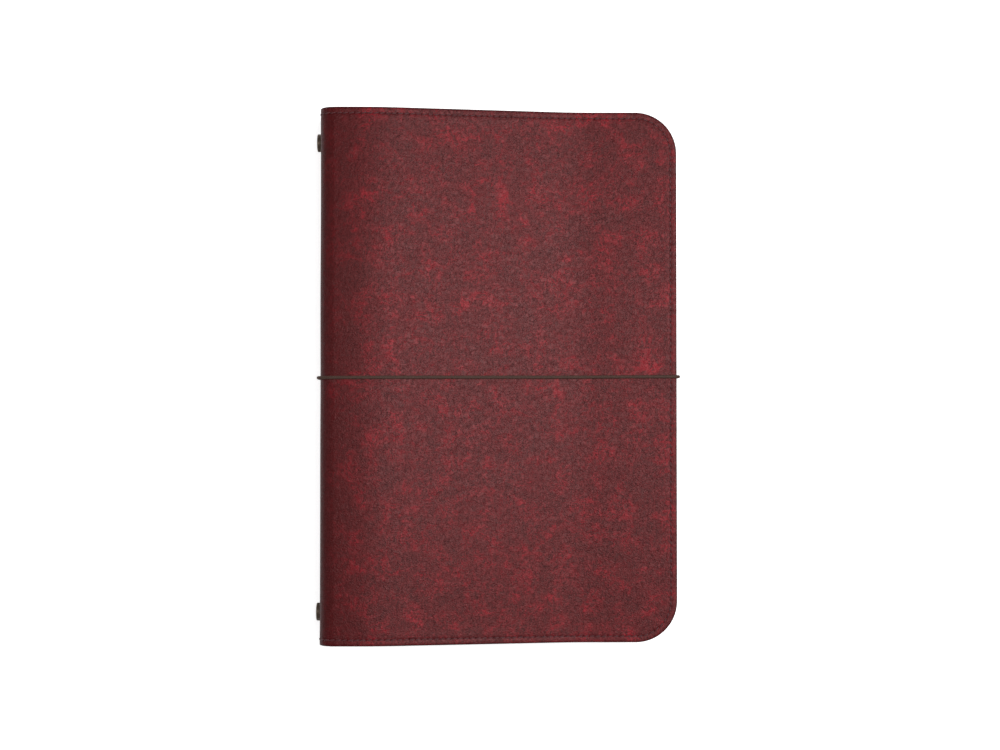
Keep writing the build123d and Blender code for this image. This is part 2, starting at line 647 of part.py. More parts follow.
def coin_sheet(number):
    """Interleaf, film, binding strip and pockets of a sheet, in place on the rings."""
    spread = (number - (SHEET_COUNT + 1) / 2) * SHEET_SPREAD
    on_ring = math.sqrt(RING_RADIUS**2 - spread**2)
    edge = on_ring + SLOT_OFFSET - SLOT_PLACE
    far = edge + SHEET_WIDTH
    underside = spread - SHEET_THICKNESS / 2
    rests_at = COVER + SHEET_GAP + (number - 1) * SHEET_STEP
    tilt = math.asin((MIDDLE - rests_at) / math.hypot(far, underside)) + math.atan2(underside, far)
    place = Pos(RING_X, 0, MIDDLE) * Rot(0, math.degrees(tilt), 0) * Pos(edge, 0, underside)
    film_top = INTERLEAF + FILM
    strip = Pos(BINDING_MARGIN / 2, 0) * Rectangle(BINDING_MARGIN, SHEET_HEIGHT) - ring_slots()
    made = {
        "interleaf": slab(sheet_outline(INTERLEAF_INSET), 0, INTERLEAF),
        "film": slab(sheet_outline(0), INTERLEAF, FILM),
        "binding_strip": slab(strip, film_top, BINDING_STRIP),
        "pockets": pocket_pieces(film_top),
    }
    return {f"sheet_{number}_{name}": place * shape for name, shape in made.items()}


# --- Album -----------------------------------------------------------------------------------
def album():
    """Every piece of the album by its node name."""
    nodes = {**back_cover(), **spine_panel(), **front_cover()}
    nodes["back_fold_leather"], nodes["back_fold_lining"] = fold(FOLD_RADIUS, -1)
    nodes["front_fold_leather"], nodes["front_fold_lining"] = fold(THICKNESS - FOLD_RADIUS, 1)
    nodes["ring_housing"] = ring_housing()
    for name, side in (("upper", 1), ("lower", -1)):
        nodes[f"{name}_hinge_plate"] = hinge_plate(side)
        nodes[f"{name}_ring_halves"] = Compound([ring_half(y, side) for y in RING_PLACES])
    nodes["head_lever"] = lever(1)
    nodes["tail_lever"] = lever(-1)
    nodes["binding_posts"] = binding_posts()
    nodes["binding_screws"] = binding_screws()
    nodes["elastic_cord"] = cord_tube(CORD_RADIUS)
    nodes["cord_eyelet"] = cord_eyelet()
    nodes["cord_crimp"] = cord_crimp()
    for number in range(1, SHEET_COUNT + 1):
        nodes.update(coin_sheet(number))
    return nodes


os.makedirs("parts", exist_ok=True)
for node, shape in album().items():
    export_step(shape, f"parts/{node}.step")
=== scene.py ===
import math
import random

import bmesh
import bpy
import numpy as np
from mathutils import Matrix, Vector
from mathutils.geometry import delaunay_2d_cdt


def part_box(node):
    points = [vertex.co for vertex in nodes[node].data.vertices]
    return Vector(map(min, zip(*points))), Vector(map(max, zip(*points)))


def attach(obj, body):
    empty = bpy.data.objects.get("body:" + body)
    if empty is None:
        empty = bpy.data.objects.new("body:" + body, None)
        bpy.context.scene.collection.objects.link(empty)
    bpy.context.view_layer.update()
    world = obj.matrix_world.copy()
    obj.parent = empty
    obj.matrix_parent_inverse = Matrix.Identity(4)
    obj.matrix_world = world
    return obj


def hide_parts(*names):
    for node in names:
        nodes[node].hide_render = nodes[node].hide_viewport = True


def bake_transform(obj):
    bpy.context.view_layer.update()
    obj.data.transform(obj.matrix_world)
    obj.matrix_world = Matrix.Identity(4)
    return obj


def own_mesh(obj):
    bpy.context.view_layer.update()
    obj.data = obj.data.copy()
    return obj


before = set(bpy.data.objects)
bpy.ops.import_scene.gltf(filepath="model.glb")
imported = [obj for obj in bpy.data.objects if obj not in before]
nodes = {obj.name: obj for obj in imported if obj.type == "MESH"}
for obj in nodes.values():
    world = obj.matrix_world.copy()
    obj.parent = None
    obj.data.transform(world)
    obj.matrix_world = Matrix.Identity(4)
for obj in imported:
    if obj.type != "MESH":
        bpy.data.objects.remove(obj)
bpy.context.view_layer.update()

MM = 0.001  # every size below is in metres

# --- The hide -------------------------------------------------------------------------------
# One piece of 1.6 mm vegetable-tanned leather wraps the whole album, from the back fore-edge
# round the spine to the front fore-edge. It is dyed burgundy, waxed and glued to the boards,
# and its edges are bevelled, burnished and darkened.
front_low, front_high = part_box("front_cover_leather")
TOP = front_high.z
FORE_EDGE = front_high.x
HALF_HEIGHT = front_high.y
SPINE_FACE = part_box("back_fold_leather")[0].x
FOLD_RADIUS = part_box("back_fold_leather")[1].z
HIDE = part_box("back_cover_leather")[1].z
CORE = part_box("back_cover_core")[1].z - HIDE
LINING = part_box("back_cover_lining")[1].z - HIDE - CORE
COVER = HIDE + CORE + LINING
DROP = TOP - (front_low.z + HIDE)
CORNER_RADIUS = 18.5 * MM
DRAPE_START = 17.2 * MM
DRAPE_RADIUS = 90 * MM
FORE_LEVEL = 37.5 * MM

drape_run = FORE_EDGE - SPINE_FACE - DRAPE_START - FORE_LEVEL
drape_lever = 2 * DRAPE_RADIUS - DROP
drape_bends = math.acos(2 * DRAPE_RADIUS / math.hypot(drape_run, drape_lever))
DRAPE_SLOPE = math.atan2(drape_run, drape_lever) - drape_bends
drape_straight = (DROP - 2 * DRAPE_RADIUS * (1 - math.cos(DRAPE_SLOPE))) / math.sin(DRAPE_SLOPE)
panel = FORE_EDGE - SPINE_FACE - FOLD_RADIUS
quarter = FOLD_RADIUS * math.pi / 2
spine = TOP - 2 * FOLD_RADIUS
stretches = [  # length and turn of each stretch of the cover's outer face
    (panel, 0),
    (quarter, -math.pi / 2),
    (spine, 0),
    (quarter, -math.pi / 2),
    (DRAPE_START - FOLD_RADIUS, 0),
    (DRAPE_RADIUS * DRAPE_SLOPE, -DRAPE_SLOPE),
    (drape_straight, 0),
    (DRAPE_RADIUS * DRAPE_SLOPE, DRAPE_SLOPE),
    (FORE_LEVEL, 0),
]
joints_along = np.cumsum([0] + [length for length, turn in stretches])
COVER_LENGTH = joints_along[-1]
MID_SPINE = joints_along[2] + spine / 2


def walk(line, x, z, heading, along):
    """Place and heading some way along a line of straight and evenly bent stretches."""
    left = along
    for length, turn in line:
        part = min(left, length)
        if turn:
            bend = turn / length
            x += (math.sin(heading + bend * part) - math.sin(heading)) / bend
            z -= (math.cos(heading + bend * part) - math.cos(heading)) / bend
            heading += bend * part
        else:
            x += math.cos(heading) * part
            z += math.sin(heading) * part
        left -= part
        if left <= 0:
            break
    return x, z, heading


def on_cover(along, depth=0.0):
    """Place and heading on the cover's section: along it from the back fore-edge, and into it."""
    x, z, heading = walk(stretches, FORE_EDGE, 0.0, math.pi, float(np.clip(along, 0, COVER_LENGTH)))
    return Vector((x + math.sin(heading) * depth, 0, z - math.cos(heading) * depth)), heading


STITCH_INSET = 2.8 * MM
STITCH_PITCH = 2.7 * MM


class Edging:
    """The loop round half of the cover, from mid-spine at the tail to mid-spine at the head."""

    def __init__(self, front):
        self.front = front
        self.reach = COVER_LENGTH - MID_SPINE if front else MID_SPINE
        straight = self.reach - CORNER_RADIUS
        turn = (CORNER_RADIUS - STITCH_INSET) * math.pi / 2
        across = 2 * (HALF_HEIGHT - CORNER_RADIUS)
        self.marks = np.cumsum([0, straight, turn, across, turn, straight])
        self.stitches = round(self.marks[-1] / STITCH_PITCH)
        self.pitch = self.marks[-1] / self.stitches

    def at(self, travelled, inset):
        """(distance from mid-spine, Y) of a place on the loop, drawn in by inset, and its heading."""
        marks, radius = self.marks, CORNER_RADIUS - inset
        far, side = self.reach - CORNER_RADIUS, HALF_HEIGHT - CORNER_RADIUS
        if travelled <= marks[1]:
            return travelled, -HALF_HEIGHT + inset, 0.0
        if travelled <= marks[2]:
            turned = (travelled - marks[1]) / (marks[2] - marks[1]) * math.pi / 2
            return far + radius * math.sin(turned), -side - radius * math.cos(turned), turned
        if travelled <= marks[3]:
            return self.reach - inset, -side + travelled - marks[2], math.pi / 2
        if travelled <= marks[4]:
            turned = (travelled - marks[3]) / (marks[4] - marks[3]) * math.pi / 2
            return far + radius * math.cos(turned), side + radius * math.sin(turned), math.pi / 2 + turned
        return marks[5] - travelled, HALF_HEIGHT - inset, math.pi

    def along(self, distance):
        """Distance from mid-spine as a place along the cover's section."""
        return MID_SPINE + distance if self.front else MID_SPINE - distance


def smooth_piece(name, mesh):
    """Turns a finished mesh into a smoothly shaded piece of the album."""
    bmesh.ops.recalc_face_normals(mesh, faces=mesh.faces)
    data = bpy.data.meshes.new(name)
    mesh.to_mesh(data)
    mesh.free()
    data.shade_smooth()
    piece = bpy.data.objects.new(name, data)
    bpy.context.scene.collection.objects.link(piece)
    return piece


WAVE_HEIGHT = 0.035 * MM
WAVES_START = 3 * MM  # inset where the leather starts to rise and fall
WAVES_GROW = 6 * MM  # and how much further in it does so fully


def undulate(along, y):
    """How far hand-worked leather rises and falls over its board, smoothly and never proud."""
    wave = math.sin(along * 95 + 1.3 * math.sin(y * 61))
    wave += math.sin(y * 83 + 1.7 * math.sin(along * 47 + 2))
    return WAVE_HEIGHT * (wave - 2)


POINTS_PER_STITCH = 4
FOLD_STEP, DRAPE_STEP, FLAT_STEP = 0.75 * MM, 2.2 * MM, 3.5 * MM
FIELD_ROWS = 60
FIELD_CLEAR = 0.9 * MM  # from the field's points to the ring of points round it
WELL_INSIDE = 9 * MM  # inset given to the field, far from any edge
NEAR_FACE = 0.3 * MM  # only points this near the outer face rise and fall
SAME_PLACE = 0.1 * MM  # places nearer than this count as one
LAST_COLUMN = 3 * MM  # the field's last column is at least this near the ring


def cover_layer(name, front, top, bottom, profile, waves=False):
    """A layer over half the cover: rings of points that follow its edge, and a field inside them."""
    edging = Edging(front)
    count = POINTS_PER_STITCH * edging.stitches
    travelled = [edging.marks[-1] * i / count for i in range(count + 1)]
    mesh = bmesh.new()
    flat = mesh.verts.layers.float_vector.new("laid_flat")
    rim = mesh.verts.layers.float.new("rim")

    def place(distance, y, depth, inset):
        along = edging.along(distance)
        if waves and depth < NEAR_FACE:
            depth -= undulate(along, y) * min(1, max(0, inset - WAVES_START) / WAVES_GROW)
        point, _ = on_cover(along, depth)
        vert = mesh.verts.new((point.x, y, point.z))
        vert[flat] = (along, y, depth)
        vert[rim] = inset
        return vert

    def level(distance, share):
        along = edging.along(distance)
        return top(along) * (1 - share) + bottom(along) * share

    rings = []
    for inset, share, sunk, pricked in profile:
        ring = []
        for i, t in enumerate(travelled):
            distance, y, _ = edging.at(t, inset)
            hole = pricked if i % POINTS_PER_STITCH == 0 else 0
            ring.append(place(distance, y, level(distance, share) + sunk + hole, inset))
        rings.append(ring)
    for outer, inner in zip(rings, rings[1:]):
        for i in range(count):
            mesh.faces.new((outer[i], outer[i + 1], inner[i + 1], inner[i]))

    inset = profile[-1][0]
    bends = [(edging.along(0) - mark) * (-1 if front else 1) for mark in joints_along]
    bends = sorted(b for b in bends if 0 < b < edging.reach - 2 * inset)
    columns = [0.0]
    while columns[-1] < edging.reach - inset - LAST_COLUMN:
        here = edging.along(columns[-1] + SAME_PLACE)
        index = int(np.searchsorted(joints_along, here)) - 1
        turning = stretches[min(max(index, 0), len(stretches) - 1)][1]
        step = FOLD_STEP if abs(turning) > 1 else DRAPE_STEP if turning else FLAT_STEP
        following = [b for b in bends if b > columns[-1] + SAME_PLACE]
        columns.append(min([columns[-1] + step] + following[:1]))
    rows = np.linspace(-HALF_HEIGHT + inset, HALF_HEIGHT - inset, FIELD_ROWS)
    seams = []
    for start, (edge_inset, share, _, _) in ((rings[-1], profile[-1]), (rings[0], profile[0])):
        loop_points = [Vector(edging.at(t, edge_inset)[:2]) for t in travelled]
        field = []
        for column in columns:
            for y in rows:
                room = min(HALF_HEIGHT - edge_inset - abs(y), edging.reach - edge_inset - column)
                over = column - (edging.reach - CORNER_RADIUS), abs(y) - (HALF_HEIGHT - CORNER_RADIUS)
                if min(over) > 0:
                    room = min(room, CORNER_RADIUS - edge_inset - math.hypot(*over))
                if room >= FIELD_CLEAR:
                    field.append(Vector((column, y)))
        seam = sorted([p for p in field if p.x == 0], key=lambda p: -p.y)
        body = [p for p in field if p.x > 0]
        outline = loop_points + seam
        edges = [(i, (i + 1) % len(outline)) for i in range(len(outline))]
        result = delaunay_2d_cdt(outline + body, edges, [], 1, 1e-7)
        made = []
        for spot, origins in zip(result[0], result[3]):
            first = origins[0] if origins else None
            if first is not None and first < len(loop_points):
                made.append(start[first])
            else:
                made.append(place(spot.x, spot.y, level(spot.x, share), WELL_INSIDE))
        for face in result[2]:
            corners = [made[i] for i in face]
            if len(set(corners)) == 3:
                mesh.faces.new(corners)
        seams += [v for v in made if abs(v[flat][0] - MID_SPINE) < 1e-7]
    cap = set(seams) | {r[0] for r in rings} | {r[-1] for r in rings}
    holes = [e for e in mesh.edges if e.is_boundary and e.verts[0] in cap and e.verts[1] in cap]
    bmesh.ops.holes_fill(mesh, edges=holes)
    bmesh.ops.triangulate(mesh, faces=[f for f in mesh.faces if len(f.verts) > 4])
    piece = smooth_piece(name, mesh)
    piece.data.set_sharp_from_angle(angle=math.radians(50))
    return piece


HIDE_EDGE = [  # inset from the cut edge, share of the thickness, extra depth, and the pricked holes
    (0.0, 1.0, 0.0, 0.0),
    (0.0, 0.6, 0.0, 0.0),
    (0.0, 0.0, 0.62 * MM, 0.0),
    (0.08 * MM, 0.0, 0.32 * MM, 0.0),
    (0.28 * MM, 0.0, 0.1 * MM, 0.0),
    (0.62 * MM, 0.0, 0.0, 0.0),
    (1.3 * MM, 0.0, 0.0, 0.0),
    (2.2 * MM, 0.0, 0.01 * MM, 0.02 * MM),
    (2.5 * MM, 0.0, 0.05 * MM, 0.1 * MM),
    (2.8 * MM, 0.0, 0.09 * MM, 0.32 * MM),
    (3.1 * MM, 0.0, 0.05 * MM, 0.1 * MM),
    (3.4 * MM, 0.0, 0.01 * MM, 0.02 * MM),
    (4.2 * MM, 0.0, 0.0, 0.0),
    (5.4 * MM, 0.0, 0.0, 0.0),
]
hide_back = cover_layer("hide_back_half", False, lambda a: 0.0, lambda a: HIDE, HIDE_EDGE, waves=True)
hide_front = cover_layer("hide_front_half", True, lambda a: 0.0, lambda a: HIDE, HIDE_EDGE, waves=True)


def dye(red, green, blue):
    """A screen colour, 0 to 255, as the shader's linear colour."""
    levels = [c / 255 for c in (red, green, blue)]
    linear = [c / 12.92 if c <= 10 / 255 else ((c + 0.055) / 1.055) ** 2.4 for c in levels]
    return (*linear, 1.0)


def shade(tree, kind, inputs=None, **settings):
    """Adds a shader node. An input is a number, a colour or another node's output."""
    made = tree.nodes.new("ShaderNode" + kind)
    for key, value in settings.items():
        setattr(made, key, value)
    for key, value in (inputs or {}).items():
        if isinstance(value, bpy.types.NodeSocket):
            tree.links.new(value, made.inputs[key])
        else:
            made.inputs[key].default_value = value
    return made


def sums(tree, operation, first, second=0.5, third=0.5, clamp=False):
    """One arithmetic step between numbers or outputs."""
    made = shade(tree, "Math", {0: first, 1: second, 2: third}, operation=operation, use_clamp=clamp)
    return made.outputs[0]


def scaled(tree, value, by, plus=0.0):
    """A value made stronger or weaker, and raised."""
    return sums(tree, "MULTIPLY_ADD", value, by, plus)


def stain(tree, amount, under, over, how="MIX"):
    """Lays one colour over another by an amount."""
    made = shade(tree, "Mix", {0: amount, 6: under, 7: over}, data_type="RGBA", blend_type=how)
    return made.outputs[2]


def ramp(tree, value, low, high, start=0.0, end=1.0):
    """A smooth step of a value between two levels."""
    made = shade(
        tree,
        "MapRange",
        {"Value": value, "From Min": low, "From Max": high, "To Min": start, "To Max": end},
        interpolation_type="SMOOTHSTEP",
    )
    return made.outputs[0]


def noise(tree, place, scale, detail=2.0, roughness=0.5, distortion=0.0):
    """Cloudy noise at a scale per metre."""
    texture = shade(tree, "TexNoise", {"Vector": place, "Scale": scale, "Detail": detail})
    texture.inputs["Roughness"].default_value = roughness
    texture.inputs["Distortion"].default_value = distortion
    return texture.outputs[0]


def drawn_out(tree, place, stretch):
    """A place scaled by axis, so that a texture on it is drawn out along an axis."""
    return shade(tree, "VectorMath", {0: place, 1: stretch}, operation="MULTIPLY").outputs[0]


def raise_surface(tree, shader, height, strength, distance):
    """Gives a finish its relief from a height."""
    relief = shade(tree, "Bump", {"Height": height, "Strength": strength, "Distance": distance})
    tree.links.new(relief.outputs[0], shader.inputs["Normal"])


def effect(name, inputs, outputs):
    """An empty node group with named inputs and outputs, for an effect that several finishes use."""
    group = bpy.data.node_groups.new(name, "ShaderNodeTree")
    for label, kind, default in inputs:
        made = group.interface.new_socket(label, in_out="INPUT", socket_type=kind)
        if default is not None:
            made.default_value = default
    for label, kind in outputs:
        group.interface.new_socket(label, in_out="OUTPUT", socket_type=kind)
    return group, group.nodes.new("NodeGroupInput"), group.nodes.new("NodeGroupOutput")


def use(tree, group, **inputs):
    """Places an effect in a finish."""
    made = tree.nodes.new("ShaderNodeGroup")
    made.node_tree = group
    for key, value in inputs.items():
        key = key.replace("_", " ")
        if isinstance(value, bpy.types.NodeSocket):
            tree.links.new(value, made.inputs[key])
        else:
            made.inputs[key].default_value = value
    return made


def finish(name, **settings):
    """A new material, its tree and its Principled shader with plain values set."""
    made = bpy.data.materials.new(name)
    made.use_nodes = True
    shader = made.node_tree.nodes["Principled BSDF"]
    for key, value in settings.items():
        shader.inputs[key.replace("_", " ")].default_value = value
    return made, made.node_tree, shader


def dress(piece, material):
    """Gives every face of a piece one finish."""
    piece.data.materials.clear()
    piece.data.materials.append(material)


# Leather grain: pores and fine creases as a height, and the same creases as a darkening mask.
grain, grain_in, grain_out = effect(
    "leather_grain",
    [
        ("Place", "NodeSocketVector", None),
        ("Pore Scale", "NodeSocketFloat", 1500.0),
        ("Crease Scale", "NodeSocketFloat", 420.0),
    ],
    [("Height", "NodeSocketFloat"), ("Creases", "NodeSocketFloat")],
)
hide_place = grain_in.outputs["Place"]
pores = shade(grain, "TexVoronoi", {"Vector": hide_place, "Scale": grain_in.outputs["Pore Scale"]})
pits = ramp(grain, pores.outputs["Distance"], low=0.05, high=0.5)
crease_noise = noise(
    grain, hide_place, grain_in.outputs["Crease Scale"], detail=5.0, roughness=0.62, distortion=0.6
)
crease = sums(grain, "ABSOLUTE", sums(grain, "SUBTRACT", crease_noise, 0.5))
crease = ramp(grain, crease, low=0.0, high=0.11)
height = scaled(grain, pits, by=0.45, plus=scaled(grain, crease, by=0.55))
grain.links.new(height, grain_out.inputs["Height"])
grain.links.new(sums(grain, "SUBTRACT", 1.0, crease), grain_out.inputs["Creases"])

# Burgundy hide: a dark waxed base, redder where the dye took, in soft patches and curly fibres,
# with a fine grain over both. Shade is painted onto the folds, so that they are darkest.
WAXED_WINE, CRIMSON_FIBRE = dye(50, 7, 9), dye(142, 18, 33)
GRAIN_BLOOM = (0.092, 0.0155, 0.0165, 1.0)
CREASE_SHADE, PAINTED_FOLD_SHADE, BURNISHED_EDGE = dye(48, 17, 18), dye(62, 2, 4), dye(52, 14, 17)
burgundy, tree, shader = finish(
    "burgundy_hide", Specular_IOR_Level=0.27, Specular_Tint=(1.0, 0.55, 0.55, 1.0)
)
laid = shade(tree, "Attribute", attribute_name="laid_flat", attribute_type="GEOMETRY").outputs["Vector"]
rim = shade(tree, "Attribute", attribute_name="rim", attribute_type="GEOMETRY").outputs["Fac"]

drift = shade(tree, "TexNoise", {"Vector": laid, "Scale": 130.0, "Detail": 3.0, "Roughness": 0.6})
centred = {0: drift.outputs["Color"], 1: (0.5, 0.5, 0.5)}
curl = shade(tree, "VectorMath", centred, operation="SUBTRACT").outputs[0]
bent_aside = drawn_out(tree, curl, (0.014, 0.014, 0.0))
curled = shade(tree, "VectorMath", {0: laid, 1: bent_aside}, operation="ADD").outputs[0]


def fibres(stretch, scale, thin):
    """Curly strokes, drawn out one way, as a mask."""
    wandering = noise(tree, drawn_out(tree, curled, stretch), scale, detail=2.0, roughness=0.5)
    return ramp(tree, sums(tree, "ABSOLUTE", sums(tree, "SUBTRACT", wandering, 0.5)), low=thin, high=0.0)


patches = noise(tree, laid, 55.0, detail=7.0, roughness=0.72, distortion=0.2)
dyed = ramp(tree, patches, low=0.4, high=0.66)
tufts = noise(tree, laid, 105.0, detail=3.0, roughness=0.6, distortion=0.4)
grown = ramp(tree, tufts, low=0.4, high=0.6)
along_height = fibres((1.0, 0.35, 1.0), 230.0, thin=0.036)
along_width = fibres((0.35, 1.0, 1.0), 220.0, thin=0.036)
short = scaled(tree, fibres((0.8, 0.6, 1.0), 380.0, thin=0.04), by=0.6)
strokes = sums(tree, "MAXIMUM", sums(tree, "MAXIMUM", along_height, along_width), short)
strokes = sums(tree, "MULTIPLY", strokes, grown)
showing = sums(tree, "MULTIPLY", strokes, scaled(tree, dyed, by=0.46, plus=0.3))
showing = sums(tree, "MULTIPLY_ADD", dyed, 0.1, showing, clamp=True)
colour = stain(tree, showing, WAXED_WINE, CRIMSON_FIBRE)
speckle = noise(tree, laid, 1500.0, detail=2.0, roughness=0.75)
combed = noise(tree, drawn_out(tree, laid, (1.0, 0.35, 1.0)), 800.0, detail=3.0, roughness=0.7)
grain_tone = scaled(tree, speckle, by=0.6, plus=scaled(tree, combed, by=0.4))
colour = stain(tree, ramp(tree, grain_tone, low=0.38, high=0.62), colour, GRAIN_BLOOM, "ADD")
surface = use(tree, grain, Place=laid, Pore_Scale=1000.0, Crease_Scale=430.0)
colour = stain(tree, scaled(tree, surface.outputs["Creases"], by=0.2), colour, CREASE_SHADE)

# Painted shade: a band over each fold by the spine is darkened, as shade falls there.
along = shade(tree, "SeparateXYZ", {0: laid}).outputs[0]
from_middle = sums(tree, "ABSOLUTE", sums(tree, "SUBTRACT", along, MID_SPINE))
off_spine = sums(tree, "SUBTRACT", from_middle, spine / 2)
fold_starts = ramp(tree, off_spine, low=-2 * MM, high=4 * MM)
fold_ends = ramp(tree, off_spine, low=30 * MM, high=7 * MM)
fold_shade_mask = sums(tree, "MULTIPLY", fold_starts, fold_ends)
colour = stain(tree, scaled(tree, fold_shade_mask, by=0.7), colour, PAINTED_FOLD_SHADE)
edge = ramp(tree, rim, low=0.9 * MM, high=0.1 * MM)
colour = stain(tree, scaled(tree, edge, by=0.6), colour, BURNISHED_EDGE)
tree.links.new(colour, shader.inputs["Base Color"])
satin = scaled(tree, patches, by=0.14, plus=0.32)
tree.links.new(scaled(tree, edge, by=-0.08, plus=satin), shader.inputs["Roughness"])
raise_surface(tree, shader, surface.outputs["Height"], strength=0.9, distance=0.1 * MM)
for half in (hide_back, hide_front):
    dress(half, burgundy)

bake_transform(hide_back)
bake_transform(hide_front)
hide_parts("back_cover_leather", "back_fold_leather", "spine_leather")
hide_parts("front_cover_leather", "front_fold_leather")

# --- The boards -----------------------------------------------------------------------------
# Three stiff leatherboard panels, pressed from shredded leather and latex. They stop at the
# folds, and only their darkened edges show between the hide and the lining.
leatherboard, tree, shader = finish("leatherboard", Roughness=0.82, Specular_IOR_Level=0.25)
where = shade(tree, "TexCoord").outputs["Object"]
layers = drawn_out(tree, where, (1.0, 1.0, 6.0))
shreds = noise(tree, layers, 900.0, detail=4.0, roughness=0.65, distortion=0.4)
colour = stain(tree, ramp(tree, shreds, low=0.35, high=0.68), dye(58, 30, 24), dye(98, 58, 42))
tree.links.new(colour, shader.inputs["Base Color"])
raise_surface(tree, shader, shreds, strength=0.5, distance=0.12 * MM)
for name in ("back_cover_core", "spine_core", "front_cover_core"):
    dress(nodes[name], leatherboard)

# --- The lining -----------------------------------------------------------------------------
# One piece of thin 0.8 mm leather glued inside the cover. It runs over the boards and dips
# between them, where it is glued straight to the hide so that the folds stay supple.
DIP = 2.5 * MM


def lining_top(along):
    """Depth of the lining's glued face: on the boards, or down on the hide in a fold."""
    inside = max(min(along - joints_along[i], joints_along[i + 1] - along) for i in (1, 3))
    share = min(1.0, max(0.0, inside / DIP))
    return HIDE + CORE * (1 - share * share * (3 - 2 * share))


def lining_face(along):
    """Depth of the lining's open face."""
    return lining_top(along) + LINING


LINING_EDGE = [
    (0.0, 0.0, 0.0, 0.0),
    (0.0, 1.0, -0.3 * MM, 0.0),
    (0.1 * MM, 1.0, -0.1 * MM, 0.0),
    (0.35 * MM, 1.0, 0.0, 0.0),
    (1.3 * MM, 1.0, 0.0, 0.0),
    (2.2 * MM, 1.0, 0.0, 0.0),
    (2.5 * MM, 1.0, -0.06 * MM, -0.06 * MM),
    (2.8 * MM, 1.0, -0.1 * MM, -0.25 * MM),
    (3.1 * MM, 1.0, -0.06 * MM, -0.06 * MM),
    (3.4 * MM, 1.0, 0.0, 0.0),
    (5.4 * MM, 1.0, 0.0, 0.0),
]
lining_back = cover_layer("lining_back_half", False, lining_top, lining_face, LINING_EDGE)
lining_front = cover_layer("lining_front_half", True, lining_top, lining_face, LINING_EDGE)

lining_leather, tree, shader = finish(
    "lining_leather", Specular_IOR_Level=0.3, Sheen_Weight=0.15, Sheen_Roughness=0.5
)
laid = shade(tree, "Attribute", attribute_name="laid_flat", attribute_type="GEOMETRY").outputs["Vector"]
rim = shade(tree, "Attribute", attribute_name="rim", attribute_type="GEOMETRY").outputs["Fac"]
surface = use(tree, grain, Place=laid, Pore_Scale=1100.0, Crease_Scale=300.0)
tone = noise(tree, laid, 26.0, detail=4.0, roughness=0.55, distortion=0.3)
colour = stain(tree, ramp(tree, tone, low=0.32, high=0.68), dye(66, 30, 28), dye(84, 40, 36))
# Painted shade: the grain's creases are darkened.
colour = stain(tree, scaled(tree, surface.outputs["Creases"], by=0.3), colour, dye(40, 17, 16))
cut_edge = ramp(tree, rim, low=0.5 * MM, high=0.05 * MM, end=0.7)
colour = stain(tree, cut_edge, colour, dye(52, 19, 20))
tree.links.new(colour, shader.inputs["Base Color"])
tree.links.new(scaled(tree, tone, by=0.2, plus=0.48), shader.inputs["Roughness"])
raise_surface(tree, shader, surface.outputs["Height"], strength=0.4, distance=0.1 * MM)
for half in (lining_back, lining_front):
    dress(half, lining_leather)
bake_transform(lining_back)
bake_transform(lining_front)
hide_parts("back_cover_lining", "back_fold_lining", "spine_lining")
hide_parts("front_cover_lining", "front_fold_lining")

# --- The stitching --------------------------------------------------------------------------
# A saddle stitch in waxed 0.6 mm linen thread, sewn by hand through pricked holes in a creased
# line all round the cover. Each stitch slants a little and dives into a hole at both ends.
THREAD_RADIUS = 0.29 * MM
STITCH_GAP = 0.3 * MM
STITCH_SLANT = 0.2 * MM
STITCH_SLACK = 0.03 * MM
STITCH_DIVE = 0.36 * MM  # how far its ends go down into the holes
THREAD_SUNK = 0.02 * MM
PLY_SWELL, PLY_TURN = 0.12, 1.9  # how much the twisted plies swell it, and their turn per ring
THREAD_RINGS, THREAD_SIDES = 7, 8
random.seed(7)


def close_tube(mesh, loops):
    """Skins a line of loops as a closed tube."""
    sides = len(loops[0])
    for one, two in zip(loops, loops[1:]):
        for j in range(sides):
            mesh.faces.new((one[j], one[(j + 1) % sides], two[(j + 1) % sides], two[j]))
    mesh.faces.new(loops[0][::-1])
    mesh.faces.new(loops[-1])


def stitch_row(name, front, inside):
    """Every stitch on one face of half the cover, as one piece."""
    edging = Edging(front)
    mesh = bmesh.new()
    for stitch in range(edging.stitches):
        begin = stitch * edging.pitch + STITCH_GAP / 2
        slack = random.uniform(-STITCH_SLACK, STITCH_SLACK)
        slant = STITCH_SLANT * random.uniform(0.7, 1.2) * (-1 if inside else 1)
        loops = []
        for i in range(THREAD_RINGS):
            share = i / (THREAD_RINGS - 1)
            travelled = begin + share * (edging.pitch - STITCH_GAP)
            distance, y, turned = edging.at(travelled, STITCH_INSET)
            along = edging.along(distance)
            arch = math.sin(math.pi * (0.08 + 0.84 * share)) ** 0.5
            dive = STITCH_DIVE * (1 - arch) + THREAD_SUNK + slack
            face = lining_face(along) - dive if inside else dive
            thin = THREAD_RADIUS * (0.72 + 0.28 * arch)
            loop = []
            for j in range(THREAD_SIDES):
                angle = 2 * math.pi * j / THREAD_SIDES
                swell = thin * (1 + PLY_SWELL * math.cos(2 * angle - PLY_TURN * i))
                aside = swell * math.cos(angle) + slant * (share - 0.5) * 2
                rise = swell * math.sin(angle)
                place, _ = on_cover(edging.along(distance - aside * math.sin(turned)), face - rise)
                loop.append(mesh.verts.new((place.x, y + aside * math.cos(turned), place.z)))
            loops.append(loop)
        close_tube(mesh, loops)
    return smooth_piece(name, mesh)


